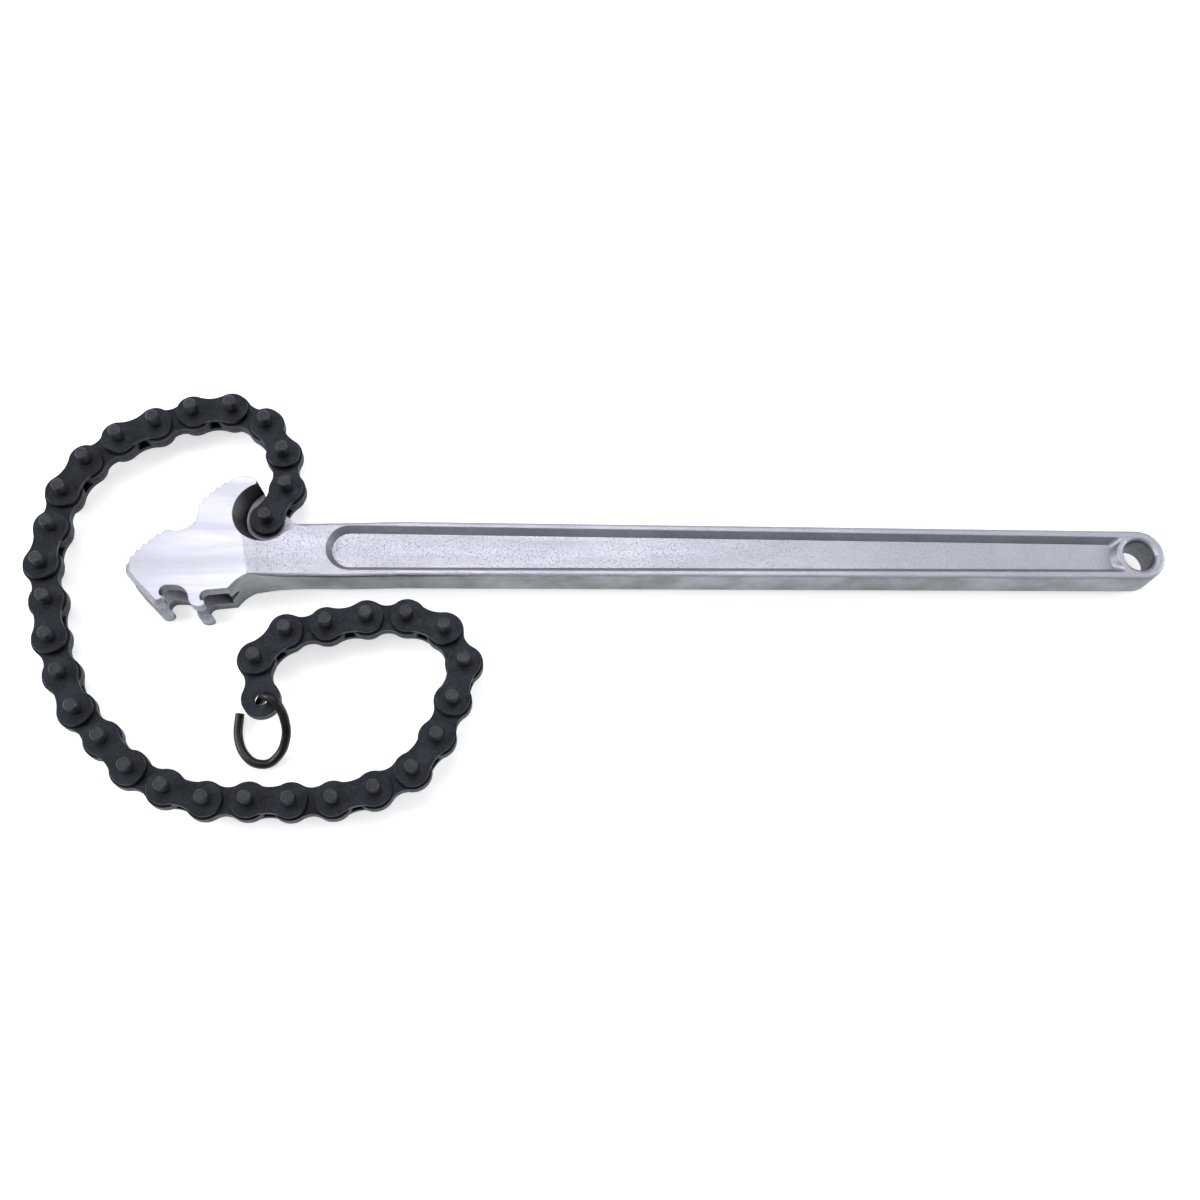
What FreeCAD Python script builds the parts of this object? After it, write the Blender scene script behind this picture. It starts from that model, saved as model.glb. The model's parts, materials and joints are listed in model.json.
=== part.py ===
"""Heavy chain wrench laid flat: a one-piece forged handle and head, a plate chain and an open end ring.

All sizes are millimetres. While it is built, the model has the anchor pin's axis at x = y = 0, the handle runs
along +X, the resting surface is z = 0, and everything is symmetric about the plane z = MID. At the end it is
moved so that the origin is the middle of the bottom of the whole object's box.
"""

import FreeCAD, Part

import math
import os

V = FreeCAD.Vector

# Overall thickness: the head's cheeks and the pins' ends rest on the same surface
HEAD_THICKNESS = 36.0
MID = HEAD_THICKNESS / 2

# Plate chain
PITCH = 25.4
PLATE = 4.0
INNER_GAP = 0.1
SIDE_GAP = 0.15
PIN_DIAMETER = 7.94
PIN_LENGTH = HEAD_THICKNESS
PIN_CHAMFER = 0.5
RUNNING_BORE = 8.1
END_BORE = 9.6
OUTER_END_RADIUS = 10.7
OUTER_WAIST = 15.9
INNER_END_RADIUS = 12.05
INNER_WAIST = 16.5
PLATE_ROUND = 0.5
INNER_STACK = 2 * PLATE + INNER_GAP
# Direction of each link as the chain lies, in degrees anticlockwise from the handle's direction
LINK_HEADINGS = [
    64, 98, 121, 155, 186, 201, 206, 222, 241, 260, 263, 285,
    281, 292, 297, 314, 314, 332, 343, 359, 359, 362, 374, 388,
    415, 429, 435, 480, 520, 542, 551, 551, 586, 640,
]

# Handle: its middle line, its bar from the neck to the hanging hole, and the neck that thins from the head to it
HANDLE_Y = -21.5
HANDLE_THICKNESS = 25.0
# The neck's sections: distance along it, lean, lower and upper side, half its height, and its corners' radius
NECK_SECTIONS = [
    (-12.4, 0.2, (-42.4, -4.2), 17.95, 0.6),
    (-4.0, 0.1, (-42.2, -4.3), 16.7, 1.2),
    (6.0, 0.0, (-42.0, -4.4), 14.4, 1.8),
    (20.0, 0.0, (-41.75, -4.6), 12.9, 2.3),
    (34.0, 0.0, (-41.0, -5.0), 12.0, 2.6),
]
NECK_START = NECK_SECTIONS[0][0]
BAR_START = 10.0
BAR_START_SIDES = (-41.5, -5.26)
BAR_BEND = (50.0, -41.6)
TAPER_START = 88.0
HOLE_X = 576.0
HANDLE_WIDTH_HEAD = 38.1
HANDLE_WIDTH_END = 35.0
HANDLE_ROUND = 2.2
HOLE_DIAMETER = 20.4
HOLE_ROUND = 3.6
RECESS_START = 39.5
RECESS_DEPTH = 5.0
RECESS_RIM = 3.6
RECESS_RIM_END = 5.0
RECESS_WALL = 3.7
RECESS_END_RADIUS = 15.2
RECESS_CORNER = 3.0
RECESS_RIM_ROUND = 0.9

# Head
WEB_RADIUS = 12.8
POCKET_RADIUS = 20.0
POCKET_FLOOR_RADIUS = 13.6
TOOTH_DEPTH = 1.45
TOOTH_GULLET = 0.3
TEETH = 7
JAW_RADIUS = 60.0
VALLEY_CENTRE = (-54.3, -0.2)
VALLEY_RADIUS = 13.2
SEAT_RADIUS = 4.25
SEAT_LEFT = (-56.4, -54.6)
SEAT_SLOPE = -7.0
SLOT_WIDTH = 17.6
SLOT_RADIUS = 13.0
RUN_OUT = (-29.0, -13.6)
RUN_OUT_TOP = -47.4
TIP_CHAMFER = 2.4

# End ring
WIRE_DIAMETER = 5.8
# Corners of the wire's route from the end bore's centre: right of the last link, away from it, and height above MID
RING_ROUTE = [
    (-8.6, 1.0, -10.4),
    (-2.9, 0.0, -8.0),
    (2.9, 0.0, 8.0),
    (9.0, 4.2, 9.2),
    (12.6, 12.5, 4.5),
    (13.0, 22.5, -3.0),
    (8.0, 32.0, -10.5),
    (-1.5, 38.0, -15.0),
    (-11.5, 35.5, -15.1),
    (-17.6, 26.5, -15.1),
    (-19.0, 15.0, -14.8),
    (-15.8, 2.6, -13.0),
]


def polar(radius, degrees, centre=(0.0, 0.0)):
    a = math.radians(degrees)
    return (centre[0] + radius * math.cos(a), centre[1] + radius * math.sin(a))


def at(point, z=0.0):
    return V(point[0], point[1], z)


def outline(steps, z=0.0):
    """A closed wire from steps: a point is a straight line to it, and a pair of points an arc through and to them."""
    start = steps[0]
    here, edges = start, []
    for step in steps[1:] + [start]:
        if isinstance(step[0], tuple):
            through, end = step
            edges.append(Part.Arc(at(here, z), at(through, z), at(end, z)).toShape())
        else:
            end = step
            edges.append(Part.LineSegment(at(here, z), at(end, z)).toShape())
        here = end
    return Part.Wire(edges)


def prism(steps, bottom, top):
    return Part.Face(outline(steps, bottom)).extrude(V(0, 0, top - bottom))


def mirrored(shape):
    """The same shape on the other side of the middle plane."""
    return shape.mirror(V(0, 0, MID), V(0, 0, 1))


def cylinder(radius, bottom, top, x=0.0, y=0.0):
    return Part.makeCylinder(radius, top - bottom, V(x, y, bottom))


# ---- chain ------------------------------------------------------------------------------------------------------


def link_plate(end_radius, waist, bores):
    """A plate from one pin to the next with hollow sides, its lower face at z = 0 and its edges rounded."""
    hollow = (PITCH**2 / 4 + waist**2 / 4 - end_radius**2) / (2 * end_radius - waist)
    lean = math.degrees(math.atan2(waist / 2 + hollow, PITCH / 2))
    far = (PITCH, 0.0)
    a, b = polar(end_radius, lean), polar(end_radius, 180 - lean, far)
    c, d = polar(end_radius, lean - 180, far), polar(end_radius, -lean)
    arcs = [
        (a, (PITCH / 2, waist / 2), b),
        (b, polar(end_radius, 0, far), c),
        (c, (PITCH / 2, -waist / 2), d),
        (d, polar(end_radius, 180), a),
    ]
    wire = Part.Wire([Part.Arc(at(p), at(q), at(r)).toShape() for p, q, r in arcs])
    body = Part.Face(wire).extrude(V(0, 0, PLATE))
    body = body.makeFillet(PLATE_ROUND, [e for e in body.Edges if is_flat_edge(e)])
    for x, diameter in zip((0.0, PITCH), bores):
        body = body.cut(cylinder(diameter / 2, -1, PLATE + 1, x))
    return body


def is_flat_edge(edge):
    """Whether an edge lies in one horizontal plane."""
    box = edge.BoundBox
    return box.ZLength < 1e-6


def placed(shape, position, heading, z):
    copy = shape.copy()
    turn = FreeCAD.Rotation(V(0, 0, 1), heading)
    copy.Placement = FreeCAD.Placement(V(position[0], position[1], z), turn)
    return copy


def link_pin(position):
    body = cylinder(PIN_DIAMETER / 2, 0, PIN_LENGTH)
    body = body.makeChamfer(PIN_CHAMFER, [e for e in body.Edges if is_flat_edge(e)])
    return placed(body, position, 0, 0)


def joint_positions():
    """Where the pins stand, from the anchor pin to the end bore."""
    points = [(0.0, 0.0)]
    for heading in LINK_HEADINGS:
        points.append(polar(PITCH, heading, points[-1]))
    return points


def chain_parts():
    points = joint_positions()
    outer = link_plate(OUTER_END_RADIUS, OUTER_WAIST, (PIN_DIAMETER, PIN_DIAMETER))
    inner = link_plate(INNER_END_RADIUS, INNER_WAIST, (RUNNING_BORE, RUNNING_BORE))
    last = link_plate(INNER_END_RADIUS, INNER_WAIST, (RUNNING_BORE, END_BORE))
    inner_levels = (MID - INNER_STACK / 2, MID + INNER_GAP / 2)
    outer_levels = (
        MID - INNER_STACK / 2 - SIDE_GAP - PLATE,
        MID + INNER_STACK / 2 + SIDE_GAP,
    )
    parts = {}
    for i, heading in enumerate(LINK_HEADINGS):
        number = f"{i // 2 + 1:02d}"
        if i % 2 == 0:
            pair = [placed(outer, points[i], heading, z) for z in outer_levels]
            parts["outer_plates_" + number] = Part.makeCompound(pair)
            pins = [link_pin(points[i]), link_pin(points[i + 1])]
            parts["link_pins_" + number] = Part.makeCompound(pins)
        else:
            shape = last if i == len(LINK_HEADINGS) - 1 else inner
            pair = [placed(shape, points[i], heading, z) for z in inner_levels]
            parts["inner_plates_" + number] = Part.makeCompound(pair)
    return parts


# ---- end ring ---------------------------------------------------------------------------------------------------


def ring_points():
    """The wire's corners, with the last link's direction as the second axis."""
    end, heading = joint_positions()[-1], math.radians(LINK_HEADINGS[-1])
    away = V(math.cos(heading), math.sin(heading), 0)
    right = V(-away.y, away.x, 0)
    return [V(end[0], end[1], MID + z) + right * r + away * a for r, a, z in RING_ROUTE]


def wire_path(points):
    """Straight runs joined by arcs as large as their runs allow."""
    edges, here = [], points[0]
    for before, corner, after in zip(points, points[1:], points[2:]):
        back, on = before - corner, after - corner
        inset = 0.45 * min(back.Length, on.Length)
        back.normalize()
        on.normalize()
        start, end = corner + back * inset, corner + on * inset
        half = back.getAngle(on) / 2
        radius = inset * math.tan(half)
        bisector = (back + on).normalize()
        middle = corner + bisector * (radius / math.sin(half) - radius)
        edges.append(Part.LineSegment(here, start).toShape())
        edges.append(Part.Arc(start, middle, end).toShape())
        here = end
    edges.append(Part.LineSegment(here, points[-1]).toShape())
    return Part.Wire(edges)


def end_ring():
    path = wire_path(ring_points())
    first = path.Edges[0]
    start, direction = first.Vertexes[0].Point, first.tangentAt(first.FirstParameter)
    circle = Part.makeCircle(WIRE_DIAMETER / 2, start, direction)
    return path.makePipeShell([Part.Wire(circle)], True, True)


# ---- forging ----------------------------------------------------------------------------------------------------


def teeth(first, last):
    """Saw teeth from the first tip to the last, along a shallow outward arc, with steep sides towards the first."""
    chord = math.dist(first, last)
    along = ((last[0] - first[0]) / chord, (last[1] - first[1]) / chord)
    out = (along[1], -along[0])
    drop = math.sqrt(JAW_RADIUS**2 - chord**2 / 4)

    def on_arc(share, depth):
        s = (share - 0.5) * chord
        rise = math.sqrt(JAW_RADIUS**2 - s**2) - drop - depth
        s += chord / 2
        return (
            first[0] + along[0] * s + out[0] * rise,
            first[1] + along[1] * s + out[1] * rise,
        )

    points = []
    for k in range(TEETH):
        points.append(on_arc(k / (TEETH - 1), 0))
        if k < TEETH - 1:
            points.append(on_arc((k + 1 - TOOTH_GULLET) / (TEETH - 1), TOOTH_DEPTH))
    return points


def seat_right():
    return polar(PITCH, SEAT_SLOPE, SEAT_LEFT)


def head_outline():
    left, right = SEAT_LEFT, seat_right()
    steps = [
        (NECK_START + 1.0, 10.0),
        (-3.1, 10.5),
        (-3.1, 19.4),
        (-9.4, 25.2),
    ]
    steps += teeth((-17.1, 25.8), (-41.7, 5.1))
    steps += [
        polar(VALLEY_RADIUS, 2, VALLEY_CENTRE),
        (
            polar(VALLEY_RADIUS, -50, VALLEY_CENTRE),
            polar(VALLEY_RADIUS, -100, VALLEY_CENTRE),
        ),
    ]
    steps += teeth((-60.6, -12.7), (-83.2, -36.0))
    steps += [
        (-83.0, -41.5),
        (-77.0, -48.6),
        (-64.6, -61.2),
        ((-61.2, -62.6), (-57.4, -60.6)),
        ((-57.2, -59.2), polar(SEAT_RADIUS, 218, left)),
        (polar(SEAT_RADIUS, 160, left), polar(SEAT_RADIUS, 90, left)),
        (left[0] + 5.0, left[1] + SEAT_RADIUS),
        ((-45.8, -52.6), (-42.8, -57.4)),
        (-42.0, -60.4),
        ((-37.8, -64.2), (-32.6, -63.2)),
        ((-32.2, -61.8), polar(SEAT_RADIUS, 216, right)),
        (polar(SEAT_RADIUS, 160, right), polar(SEAT_RADIUS, 95, right)),
        (-18.6, -52.0),
        ((-14.6, -47.0), (-7.4, -42.1)),
        (NECK_START + 0.6, -20.0),
    ]
    return steps


def web_outline():
    """The middle web that carries the anchor pin, faired into the handle's side."""
    return [
        (28.0, -5.3),
        ((18.6, -1.6), polar(WEB_RADIUS, 15)),
        (polar(WEB_RADIUS, 60), polar(WEB_RADIUS, 104)),
        (-14.0, 12.4),
        (-14.0, -24.0),
        (28.0, -24.0),
    ]


def pocket_level(z):
    """The round pocket about the anchor pin at one height, widening with its draft and open away from the jaw."""
    floor = MID + INNER_STACK / 2
    share = (z - floor) / (HEAD_THICKNESS - floor)

    def between(low, high):
        return low + share * (high - low)

    radius = between(POCKET_FLOOR_RADIUS, POCKET_RADIUS)
    nose = (between(-3.1, -6.4), between(19.4, 19.9))
    steps = [
        nose,
        (polar(radius, 160), polar(radius, 215)),
        (polar(radius, 262), polar(radius, 300)),
        (19.0, between(-4.4, -8.6)),
        (34.0, between(2.0, 0.6)),
        (60.0, 30.0),
        (nose[0] + 3.0, 34.0),
    ]
    return outline(steps, z)


def pocket():
    """The drafted recess above the web, which the first link's plate turns in."""
    floor = MID + INNER_STACK / 2
    levels = [pocket_level(floor), pocket_level(HEAD_THICKNESS + 1.0)]
    return Part.makeLoft(levels, True, True)


def slot_between_cheeks():
    """Room for the chain's plates over both pin seats, open to the jaw's tip and to the seats' side."""
    left, right = SEAT_LEFT, seat_right()
    top = 90 + SEAT_SLOPE
    start = polar(SLOT_RADIUS, top, left)
    far = polar(60.0, 180 + SEAT_SLOPE, start)
    steps = [
        far,
        (far[0], -90.0),
        (right[0] + SLOT_RADIUS, -90.0),
        (right[0] + SLOT_RADIUS, right[1]),
        (polar(SLOT_RADIUS, top / 2, right), polar(SLOT_RADIUS, top, right)),
    ]
    return prism(steps, MID - SLOT_WIDTH / 2, MID + SLOT_WIDTH / 2)


def slot_run_out():
    """The slot's tapered end beside the right seat."""
    start, end = RUN_OUT
    low, high = V(start, -90.0, MID - SLOT_WIDTH / 2), V(start, -90.0, MID + SLOT_WIDTH / 2)
    wedge = Part.makePolygon([low, high, V(end, -90.0, MID), low])
    return Part.Face(wedge).extrude(V(0, RUN_OUT_TOP + 90.0, 0))


def rounded_section(x, lean, sides, half_height, radius):
    """An upright rounded rectangle across the neck, with its upper side set back along X by its lean."""
    corners = []
    for side, inward in ((sides[0], 1), (sides[1], -1)):
        for z, up in ((MID - half_height, 1), (MID + half_height, -1)):
            corners.append((side, z, inward, up))
    order = [corners[0], corners[1], corners[3], corners[2]]
    middle = (sides[0] + sides[1]) / 2

    def spot(y, z):
        return V(x - lean * (y - middle), y, z)

    diagonal = radius * (1 - math.sqrt(0.5))
    arcs = []
    for i, (y, z, inward, up) in enumerate(order):
        ends = [spot(y, z + up * radius), spot(y + inward * radius, z)]
        through = spot(y + inward * diagonal, z + up * diagonal)
        if i % 2 == 0:
            ends.reverse()
        arcs.append((ends[0], through, ends[1]))
    edges = []
    for arc, following in zip(arcs, arcs[1:] + arcs[:1]):
        edges.append(Part.Arc(*arc).toShape())
        edges.append(Part.LineSegment(arc[2], following[0]).toShape())
    return Part.Wire(edges)


def neck():
    """The forging's thinning from the full head to the handle's bar."""
    sections = [rounded_section(*section) for section in NECK_SECTIONS]
    return Part.makeLoft(sections, True, False)


def jaw_block():
    """The full-thickness head, with the rounded edge of the forging left along the jaw's tip."""
    body = prism(head_outline(), 0, HEAD_THICKNESS)
    tip = [
        e
        for e in body.Edges
        if is_flat_edge(e) and e.BoundBox.XMax < -64.0 and e.BoundBox.YMax < -35.9
    ]
    return body.makeChamfer(TIP_CHAMFER, tip)


def handle_bar():
    """The bar from inside the neck to its round end, with both rims rounded."""
    hole = (HOLE_X, HANDLE_Y)
    near, far = HANDLE_WIDTH_HEAD / 2, HANDLE_WIDTH_END / 2
    steps = [
        (BAR_START, BAR_START_SIDES[0]),
        BAR_BEND,
        (TAPER_START, HANDLE_Y - near),
        (HOLE_X, HANDLE_Y - far),
        (polar(far, 0, hole), (HOLE_X, HANDLE_Y + far)),
        (TAPER_START, HANDLE_Y + near),
        (BAR_START, BAR_START_SIDES[1]),
    ]
    half = HANDLE_THICKNESS / 2
    body = prism(steps, MID - half, MID + half)
    rims = [
        e for e in body.Edges if is_flat_edge(e) and e.BoundBox.XMax > BAR_START + 1
    ]
    return body.makeFillet(HANDLE_ROUND, rims)


def recess_level(inset, z):
    """The sunk panel's outline at one height: round towards the head and hollow about the hanging hole."""
    near = HANDLE_WIDTH_HEAD / 2 - RECESS_RIM - inset
    far = HANDLE_WIDTH_END / 2 - RECESS_RIM_END - inset
    left = RECESS_START + inset
    radius = RECESS_END_RADIUS + inset
    corner = HOLE_X - math.sqrt(radius**2 - far**2)
    steps = [
        (left + near, HANDLE_Y - near),
        (corner, HANDLE_Y - far),
        ((HOLE_X - radius, HANDLE_Y), (corner, HANDLE_Y + far)),
        (left + near, HANDLE_Y + near),
    ]
    sides = outline(steps, z).Edges[:3]
    round_end = Part.Arc(at(steps[3], z), at((left, HANDLE_Y), z), at(steps[0], z))
    return Part.Wire(sides + [round_end.toShape()])


def recess():
    """The long sunk panel of the upper face, with rounded corners by the hole."""
    top, above = MID + HANDLE_THICKNESS / 2, 1.5
    slope = RECESS_WALL / RECESS_DEPTH
    floor = recess_level(RECESS_WALL, top - RECESS_DEPTH)
    body = Part.makeLoft([floor, recess_level(-above * slope, top + above)], True, True)
    corners = [
        e
        for e in body.Edges
        if not is_flat_edge(e) and e.CenterOfMass.x > HOLE_X - 40
    ]
    return body.makeFillet(RECESS_CORNER, corners).Solids[0]


def handle():
    """The bar with its sunk panel on both faces and the panels' rims eased."""
    body = handle_bar().cut([recess(), mirrored(recess())])
    inside = HANDLE_WIDTH_HEAD / 2 - RECESS_RIM + 0.5
    rims = [e for e in body.Edges if is_face_edge(e) and is_panel_edge(e, inside)]
    return body.makeFillet(RECESS_RIM_ROUND, rims)


def is_face_edge(edge):
    """Whether an edge lies in the handle's upper or lower face."""
    level = abs(edge.CenterOfMass.z - MID)
    return is_flat_edge(edge) and abs(level - HANDLE_THICKNESS / 2) < 0.01


def is_panel_edge(edge, inside):
    """Whether an edge keeps within a distance of the handle's middle line and short of the hanging hole."""
    box = edge.BoundBox
    reach = max(box.YMax - HANDLE_Y, HANDLE_Y - box.YMin)
    return reach < inside and box.XMax < HOLE_X - HOLE_DIAMETER / 2


def is_mouth(edge):
    """Whether an edge is a rim of the hanging hole."""
    return is_face_edge(edge) and abs(edge.BoundBox.XLength - HOLE_DIAMETER) < 0.1


def forging():
    low, high = MID - INNER_STACK / 2, MID + INNER_STACK / 2
    body = jaw_block().fuse([neck(), prism(web_outline(), low, high), handle()])
    body = body.removeSplitter()
    cuts = [
        pocket(),
        mirrored(pocket()),
        slot_between_cheeks(),
        slot_run_out(),
        cylinder(RUNNING_BORE / 2, -1, HEAD_THICKNESS + 1),
        cylinder(HOLE_DIAMETER / 2, -1, HEAD_THICKNESS + 1, HOLE_X, HANDLE_Y),
    ]
    body = body.cut(cuts)
    return body.makeFillet(HOLE_ROUND, [e for e in body.Edges if is_mouth(e)])


# ---- whole object -----------------------------------------------------------------------------------------------


def origin_shift(parts):
    box = FreeCAD.BoundBox()
    for shape in parts.values():
        box.add(shape.optimalBoundingBox(False, False))
    return V(-(box.XMin + box.XMax) / 2, -(box.YMin + box.YMax) / 2, -box.ZMin)


def main():
    parts = {"wrench_forging": forging(), "end_ring": end_ring()}
    parts.update(chain_parts())
    shift = origin_shift(parts)
    os.makedirs("parts", exist_ok=True)
    for name, shape in parts.items():
        shape.translate(shift)
        shape.exportStep(f"parts/{name}.step")
    return parts, shift


if __name__ == "__main__":
    made, moved = main()
    print("nodes", len(made), "anchor pin at", moved.x, moved.y)
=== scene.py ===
import json
import math

import bpy
from mathutils import Matrix, Vector

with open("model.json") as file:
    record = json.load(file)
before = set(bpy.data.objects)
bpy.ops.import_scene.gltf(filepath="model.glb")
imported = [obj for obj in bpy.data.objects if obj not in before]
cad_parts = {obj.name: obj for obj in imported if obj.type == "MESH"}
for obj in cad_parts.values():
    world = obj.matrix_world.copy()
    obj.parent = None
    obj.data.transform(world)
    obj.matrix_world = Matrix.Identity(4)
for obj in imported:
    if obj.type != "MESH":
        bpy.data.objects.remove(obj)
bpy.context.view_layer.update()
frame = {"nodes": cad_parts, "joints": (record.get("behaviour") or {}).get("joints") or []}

MM = 0.001
NODES = frame["nodes"]
ANCHOR_PIN = Vector(frame["joints"][0]["pos_m"])

# ---- camera -----------------------------------------------------------------------------------------------------

# Fitted to the chain's 34 pins: how far the view is turned from the handle, how far down it looks, how far it
# rolls, and where the camera stands from the anchor pin
HANDLE_TURN = math.radians(10.5)
ELEVATION = math.radians(69.136)
ROLL = math.radians(10.21)
FROM_PIN = Vector((158.9, -359.1, 820.2)) * MM
SENSOR_WIDTH, LENS = 36.0, 40.56
CLIP = (0.01, 20.0)


def camera():
    s, c = math.sin(HANDLE_TURN), math.cos(HANDLE_TURN)
    forward = Vector((s * math.cos(ELEVATION), c * math.cos(ELEVATION), -math.sin(ELEVATION)))
    level = Vector((c, -s, 0))
    lift = Vector((s * math.sin(ELEVATION), c * math.sin(ELEVATION), math.cos(ELEVATION)))
    right = math.cos(ROLL) * level + math.sin(ROLL) * lift
    up = -math.sin(ROLL) * level + math.cos(ROLL) * lift
    data = bpy.data.cameras.new("camera")
    data.sensor_width, data.lens = SENSOR_WIDTH, LENS
    data.clip_start, data.clip_end = CLIP
    cam = bpy.data.objects.new("camera", data)
    turn = Matrix((right, up, -forward)).transposed().to_4x4()
    cam.matrix_world = Matrix.Translation(ANCHOR_PIN + FROM_PIN) @ turn
    bpy.context.scene.collection.objects.link(cam)
    bpy.context.scene.camera = cam


camera()

# ---- studio -----------------------------------------------------------------------------------------------------

# The room's brightness by height of direction: a pale backdrop, a darker wall above it, and a pale ceiling
SKY = [(0.0, 0.72), (0.17, 0.68), (0.32, 0.08), (0.55, 0.18), (0.85, 0.50)]
SKY_TINT = (0.93, 0.95, 1)

# Name, place, what it points at, size and power
LIGHTS = [
    ("overhead", (-0.2, 0.8, 1.9), (-0.15, 0, 0), (1.4, 0.9), 11.5),
    ("left", (-1.7, -0.1, 1.0), (0, 0, 0), (0.9, 0.8), 20),
    ("right", (1.8, 0.3, 0.9), (0, 0, 0), (0.9, 0.8), 9),
]

FLOOR_HALF = 6.0
# The paper gives off a little light of its own, so that shadows on it stay faint
FLOOR_PAPER = {
    "Base Color": (0.92, 0.92, 0.925, 1),
    "Roughness": 0.9,
    "Specular IOR Level": 0.1,
    "Emission Color": (1, 1, 1, 1),
    "Emission Strength": 0.6,
}


def area_light(name, place, target, size, power):
    data = bpy.data.lights.new(name, "AREA")
    data.shape = "RECTANGLE"
    data.size, data.size_y = size
    data.energy = power
    light = bpy.data.objects.new(name, data)
    aim = (Vector(target) - Vector(place)).to_track_quat("-Z", "Y")
    light.matrix_world = Matrix.Translation(place) @ aim.to_matrix().to_4x4()
    bpy.context.scene.collection.objects.link(light)


def studio():
    scene = bpy.context.scene
    scene.view_settings.view_transform = "Standard"
    world = bpy.data.worlds.new("studio")
    scene.world = world
    world.use_nodes = True
    tree = world.node_tree
    direction = tree.nodes.new("ShaderNodeSeparateXYZ")
    tree.links.new(tree.nodes.new("ShaderNodeTexCoord").outputs["Generated"], direction.inputs[0])
    height = tree.nodes.new("ShaderNodeValToRGB")
    tree.links.new(direction.outputs["Z"], height.inputs["Fac"])
    band = height.color_ramp.elements
    while len(band) < len(SKY):
        band.new(0.5)
    for stop, (z, grey) in zip(band, SKY):
        stop.position = z
        stop.color = (*(share * grey for share in SKY_TINT), 1)
    tree.links.new(height.outputs["Color"], tree.nodes["Background"].inputs["Color"])
    for light in LIGHTS:
        area_light(*light)


def lay_floor():
    corners = [(x * FLOOR_HALF, y * FLOOR_HALF, 0) for x, y in ((-1, -1), (1, -1), (1, 1), (-1, 1))]
    mesh = bpy.data.meshes.new("floor")
    mesh.from_pydata(corners, [], [(0, 1, 2, 3)])
    floor = bpy.data.objects.new("floor", mesh)
    bpy.context.scene.collection.objects.link(floor)
    material = bpy.data.materials.new("floor_paper")
    material.use_nodes = True
    shader = material.node_tree.nodes["Principled BSDF"]
    for key, value in FLOOR_PAPER.items():
        shader.inputs[key].default_value = value
    mesh.materials.append(material)


studio()
lay_floor()

# ---- materials --------------------------------------------------------------------------------------------------

# Near-black: the ring's own dark tone, and the painted shade in the chain's hollows
WIRE_BLACK_AND_SHADE = (0.004, 0.004, 0.005)
WIRE_LIGHT = (0.014, 0.014, 0.015)
FORGED_DARK, FORGED_LIGHT, FORGED_GRAIN = (0.50, 0.50, 0.585), (0.585, 0.585, 0.665), (0.70, 0.70, 0.77)
PIT_GREY = (0.34, 0.34, 0.38)
# Painted shade: darker, patchy colours for the forging's side walls
WALL_SHADE_DARK, WALL_SHADE_LIGHT = (0.16, 0.175, 0.18), (0.30, 0.32, 0.35)
GROUND_DARK, GROUND_LIGHT, GROUND_STAIN = (0.48, 0.482, 0.555), (0.515, 0.517, 0.59), (0.44, 0.44, 0.515)
# Painted shade along the sharp rims of the ground faces
RIM_SHADE_GREY = (0.14, 0.14, 0.16)
# Painted shade for the forging's hollows and pocket
HOLLOW_SHADE_GREEN = (0.022, 0.028, 0.026)

# Where each mask goes from none to full
EDGE_BAND = (0.02, 0.2)
HOLLOW_BAND = (0.80, 0.32)
RIM_BAND = (0.999, 0.93)
WALL_BAND = (0.88, 0.35)
LEVEL_BAND = (0.97, 0.995)

# The forging's mid-plane, and how far from it the ground faces of the head are, in metres
MID_HEIGHT = 0.018
GROUND_BAND = (0.01775, 0.01795)

CHAIN_REACH, FORGING_REACH = 0.004, 0.018
RIM_RADIUS = 0.0009


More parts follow.
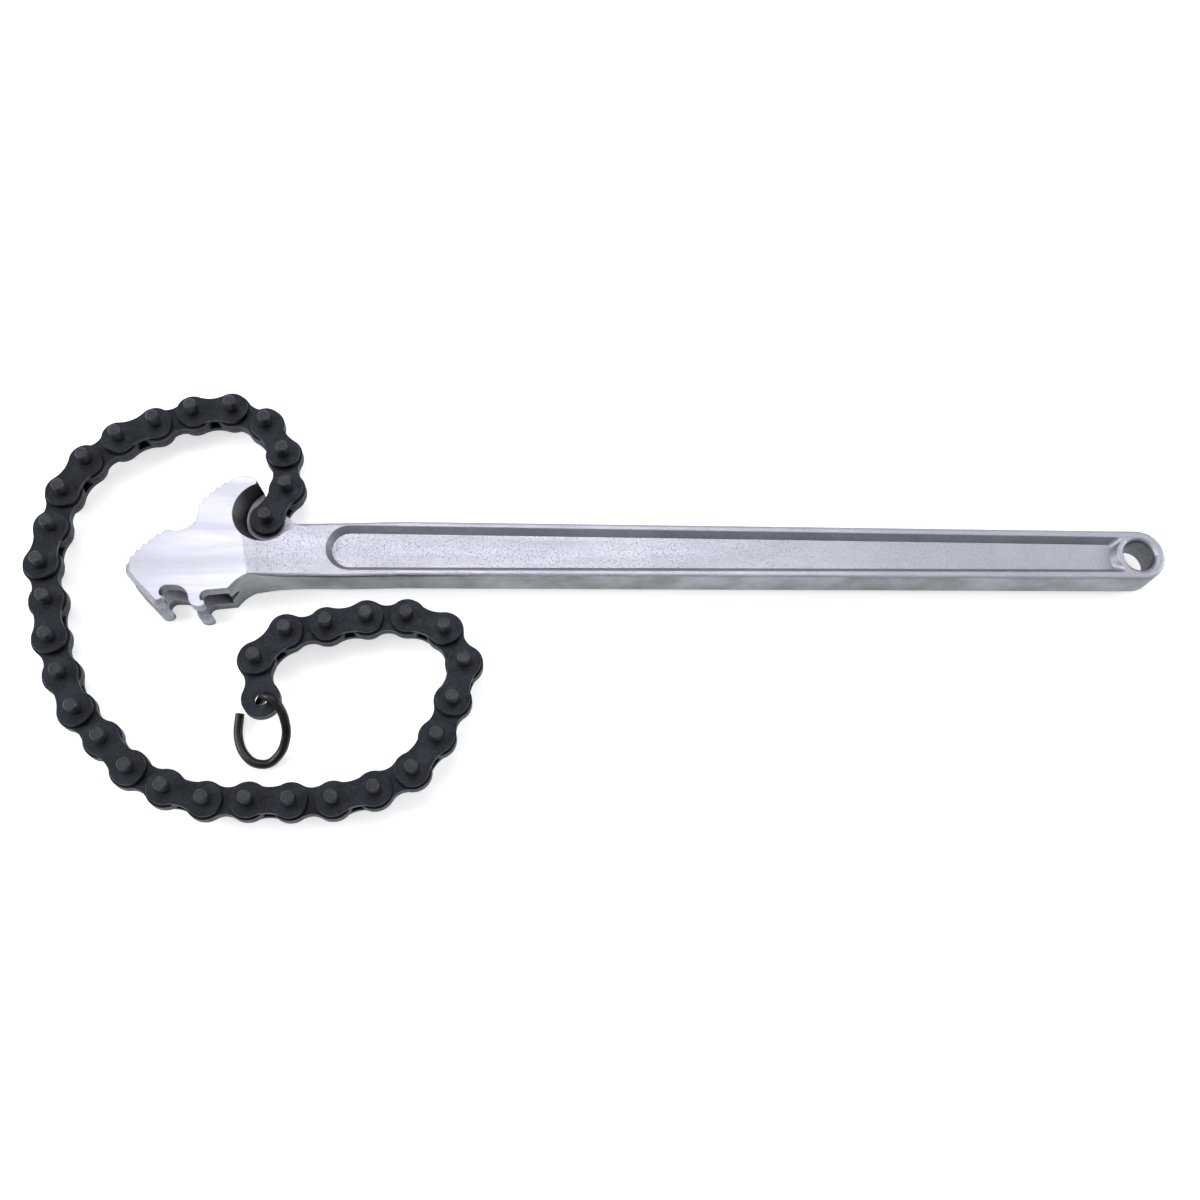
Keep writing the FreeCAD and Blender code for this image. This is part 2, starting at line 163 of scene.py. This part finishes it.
class Nodes:
    """A short way to write a material's nodes."""

    def __init__(self, name):
        self.material = bpy.data.materials.new(name)
        self.material.use_nodes = True
        self.tree = self.material.node_tree
        self.shader = self.tree.nodes["Principled BSDF"]
        self.place = self.add("ShaderNodeTexCoord").outputs["Object"]

    def add(self, kind, **settings):
        node = self.tree.nodes.new(kind)
        for key, value in settings.items():
            setattr(node, key, value)
        return node

    def feed(self, socket, value):
        if isinstance(value, bpy.types.NodeSocket):
            self.tree.links.new(value, socket)
        else:
            socket.default_value = value

    def noise(self, scale, detail=4.0, roughness=0.5, place=None):
        """Noise whose scale is in waves per metre."""
        node = self.add("ShaderNodeTexNoise")
        self.feed(node.inputs["Vector"], place or self.place)
        node.inputs["Scale"].default_value = scale
        node.inputs["Detail"].default_value = detail
        node.inputs["Roughness"].default_value = roughness
        return node.outputs["Fac"]

    def math(self, operation, a, b=0.0, clamp=False):
        node = self.add("ShaderNodeMath", operation=operation, use_clamp=clamp)
        self.feed(node.inputs[0], a)
        self.feed(node.inputs[1], b)
        return node.outputs[0]

    def ramp(self, value, low, high, to=(0.0, 1.0)):
        """A smooth step between low and high, which may be given in falling order."""
        node = self.add("ShaderNodeMapRange", interpolation_type="SMOOTHSTEP")
        self.feed(node.inputs["Value"], value)
        for key, number in zip(("From Min", "From Max", "To Min", "To Max"), (low, high, *to)):
            node.inputs[key].default_value = number
        return node.outputs["Result"]

    def mix(self, share, a, b):
        node = self.add("ShaderNodeMix", data_type="RGBA")
        self.feed(node.inputs["Factor"], share)
        for socket, value in ((node.inputs[6], a), (node.inputs[7], b)):
            self.feed(socket, value if isinstance(value, bpy.types.NodeSocket) else (*value, 1.0))
        return node.outputs[2]

    def stretched(self, scale):
        node = self.add("ShaderNodeMapping")
        self.feed(node.inputs["Vector"], self.place)
        node.inputs["Scale"].default_value = scale
        return node.outputs["Vector"]

    def bump(self, height, distance, strength, normal=None):
        """Relief that stands distance metres high, on top of normal."""
        node = self.add("ShaderNodeBump")
        node.inputs["Strength"].default_value = strength
        node.inputs["Distance"].default_value = distance
        self.feed(node.inputs["Height"], height)
        if normal:
            self.feed(node.inputs["Normal"], normal)
        return node.outputs["Normal"]

    def surface(self, **inputs):
        for key, value in inputs.items():
            self.feed(self.shader.inputs[key.replace("_", " ")], value)
        return self.material


def flatness(n):
    """How nearly a surface faces straight up or down, whatever its body's turn about Z."""
    split = n.add("ShaderNodeSeparateXYZ")
    n.feed(split.inputs[0], n.add("ShaderNodeNewGeometry").outputs["Normal"])
    return n.math("ABSOLUTE", split.outputs["Z"])


def edge_share(n):
    """How much a face of a flat plate or upright pin belongs to its rounded edge."""
    up = flatness(n)
    return n.ramp(n.math("MULTIPLY", up, n.math("SUBTRACT", 1.0, up)), *EDGE_BAND)


def hollow_shade_share(n, reach):
    """How deep in a hollow a surface lies, from what stands within reach of it, as a mask for painted shade."""
    node = n.add("ShaderNodeAmbientOcclusion", samples=8)
    node.inputs["Distance"].default_value = reach
    return n.ramp(node.outputs["AO"], *HOLLOW_BAND)


def rim_share(n, radius):
    """How near a surface lies to one of its sharp edges."""
    node = n.add("ShaderNodeBevel", samples=6)
    node.inputs["Radius"].default_value = radius
    meet = n.add("ShaderNodeVectorMath", operation="DOT_PRODUCT")
    n.feed(meet.inputs[0], node.outputs["Normal"])
    n.feed(meet.inputs[1], n.add("ShaderNodeNewGeometry").outputs["Normal"])
    return n.ramp(meet.outputs["Value"], *RIM_BAND)


def phosphate(name, dark, light, bare_and_highlight, wear_and_highlight):
    """Blackened steel: a cloudy coat, a fine grain, bare metal rubbed through along its edges that also serves as
    a painted highlight there, and painted shade in its hollows.
    """
    n = Nodes(name)
    cloud = n.ramp(n.noise(70, 5, 0.6), 0.35, 0.68)
    grain = n.noise(1400, 3, 0.7)
    colour = n.mix(cloud, dark, light)
    colour = n.mix(n.ramp(grain, 0.42, 0.78, (0.0, 0.45)), colour, bare_and_highlight)
    # Wear and painted highlight: the rounded edges lighten towards bare metal in noisy patches
    rubbed_and_highlit = n.math("MULTIPLY", edge_share(n), n.ramp(n.noise(240, 4, 0.65), 0.3, 0.7), True)
    colour = n.mix(n.math("MULTIPLY", rubbed_and_highlit, wear_and_highlight), colour, bare_and_highlight)
    # Painted shade: the chain darkens towards near-black in its hollows and between its parts
    colour = n.mix(n.math("MULTIPLY", hollow_shade_share(n, CHAIN_REACH), 0.6), colour, WIRE_BLACK_AND_SHADE)
    rough = n.ramp(n.noise(300, 4, 0.6), 0.3, 0.7, (0.42, 0.56))
    rough = n.math("SUBTRACT", rough, n.math("MULTIPLY", rubbed_and_highlit, 0.12))
    normal = n.bump(grain, 0.00006, 0.6)
    normal = n.bump(n.noise(180, 3, 0.5), 0.00015, 0.5, normal)
    return n.surface(
        Base_Color=colour, Metallic=0.5, Roughness=rough, Normal=normal, Specular_IOR_Level=0.4)


def forged_steel():
    """Bright plated forging: grained and pitted, with walls darkened as painted shade, finely scratched on its
    ground faces with their rims darkened as painted shade, and painted shade in its hollows.
    """
    n = Nodes("forged_steel")
    up = flatness(n)
    where = n.add("ShaderNodeSeparateXYZ")
    n.feed(where.inputs[0], n.place)
    from_mid = n.math("ABSOLUTE", n.math("SUBTRACT", where.outputs["Z"], MID_HEIGHT))
    ground = n.math("MULTIPLY", n.ramp(from_mid, *GROUND_BAND), n.ramp(up, *LEVEL_BAND))
    forged = n.math("SUBTRACT", 1.0, ground)
    wall = n.ramp(up, *WALL_BAND)
    cloud = n.ramp(n.noise(22, 5, 0.6), 0.3, 0.7)
    grain = n.noise(620, 6, 0.72)
    pits = n.ramp(n.noise(820, 5, 0.7), 0.34, 0.44, (1.0, 0.0))
    colour = n.mix(cloud, FORGED_DARK, FORGED_LIGHT)
    colour = n.mix(n.ramp(grain, 0.35, 0.7, (0.0, 0.5)), colour, FORGED_GRAIN)
    colour = n.mix(n.math("MULTIPLY", pits, 0.25), colour, PIT_GREY)
    patch = n.ramp(n.noise(35, 4, 0.6), 0.3, 0.7)
    # Painted shade: faces that do not face up or down take the darker wall colours
    colour = n.mix(wall, colour, n.mix(patch, WALL_SHADE_DARK, WALL_SHADE_LIGHT))
    scratch = n.noise(900, 3, 0.6, n.stretched((0.05, 1, 1)))
    stain = n.ramp(n.noise(45, 4, 0.6), 0.35, 0.7)
    bright = n.mix(n.ramp(scratch, 0.3, 0.7), GROUND_DARK, GROUND_LIGHT)
    bright = n.mix(n.math("MULTIPLY", stain, 0.35), bright, GROUND_STAIN)
    # Painted shade: the ground faces darken to grey near their sharp edges
    bright = n.mix(n.math("MULTIPLY", rim_share(n, RIM_RADIUS), 0.9), bright, RIM_SHADE_GREY)
    colour = n.mix(ground, colour, bright)
    # Painted shade: the forging darkens to a dark green in its hollows and pocket
    colour = n.mix(n.math("MULTIPLY", hollow_shade_share(n, FORGING_REACH), 0.9), colour, HOLLOW_SHADE_GREEN)
    rough = n.ramp(n.noise(90, 4, 0.6, n.stretched((0.12, 1, 1))), 0.3, 0.7, (0.38, 0.50))
    rough = n.math("SUBTRACT", rough, n.math("MULTIPLY", ground, 0.08))
    height = n.math("ADD", grain, n.math("MULTIPLY", pits, -0.6))
    normal = n.bump(n.math("MULTIPLY", height, forged), 0.00025, 0.8)
    normal = n.bump(n.math("MULTIPLY", scratch, ground), 0.00001, 0.3, normal)
    return n.surface(Base_Color=colour, Metallic=0.9, Roughness=rough, Normal=normal)


def black_wire():
    n = Nodes("black_wire")
    colour = n.mix(n.ramp(n.noise(200, 4, 0.6), 0.35, 0.7), WIRE_BLACK_AND_SHADE, WIRE_LIGHT)
    rough = n.ramp(n.noise(500, 3, 0.5), 0.3, 0.7, (0.30, 0.42))
    normal = n.bump(n.noise(350, 3), 0.00008, 0.5)
    return n.surface(Base_Color=colour, Roughness=rough, Normal=normal, Specular_IOR_Level=0.4)


def paint(node, material):
    mesh = NODES[node].data
    mesh.materials.clear()
    mesh.materials.append(material)


# How far the rounded edges lighten: partly wear, partly painted highlight
EDGE_WEAR_AND_HIGHLIGHT = 0.5
PLATE = phosphate(
    "chain_plate", (0.005, 0.0068, 0.0098), (0.0155, 0.020, 0.029), (0.064, 0.077, 0.104), EDGE_WEAR_AND_HIGHLIGHT)
PIN_STEEL = phosphate(
    "chain_pin", (0.026, 0.027, 0.032), (0.046, 0.046, 0.054), (0.14, 0.14, 0.155), EDGE_WEAR_AND_HIGHLIGHT)
FORGED = forged_steel()
BLACK = black_wire()
for name in NODES:
    if name.startswith("link_pins"):
        paint(name, PIN_STEEL)
    elif "plates" in name:
        paint(name, PLATE)
paint("wrench_forging", FORGED)
paint("end_ring", BLACK)
